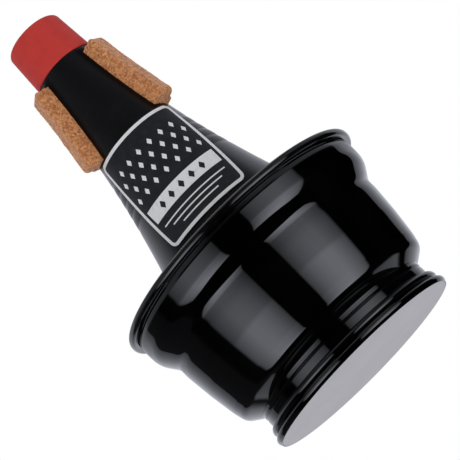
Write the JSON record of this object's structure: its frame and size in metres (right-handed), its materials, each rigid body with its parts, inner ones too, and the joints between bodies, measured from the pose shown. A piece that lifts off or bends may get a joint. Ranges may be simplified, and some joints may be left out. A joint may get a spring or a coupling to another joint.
{
  "type": "trumpet cup mute",
  "caption": "Trumpet cup mute: a lined black cone with cork strips and a red collar at its open narrow end, standing in a gloss black turned cup closed by a flat grey disc.",
  "frame": {"origin": "middle of the end disc's outer face, at the bottom of the part", "axes": "+Z along the cone's axis towards its open narrow end, -Y towards the side with the label"},
  "size_m": [0.111, 0.111, 0.178],
  "materials": {
    "end_disc": "flat grey satin disc",
    "base_hoop": "gloss black",
    "cup_gloss": "gloss black, mirror-like",
    "rim_satin": "satin black",
    "cone_fibre": "satin black varnished fibreboard",
    "lining": "matte mineral lining",
    "collar_red": "semi-matte red",
    "label": "satin charcoal panel with a silver border",
    "cork": "bare granulated cork"
  },
  "bodies": {
    "root": {"end_disc": "end_disc", "base_hoop": "base_hoop", "cup_shell": "cup_gloss", "rim_hoop": "rim_satin", "cone_shell": "cone_fibre", "stone_lining": "lining", "tip_collar": "collar_red", "label": "label", "cork_pad_left": "cork", "cork_pad_right": "cork", "cork_pad_rear": "cork"}
  },
  "joints": []
}
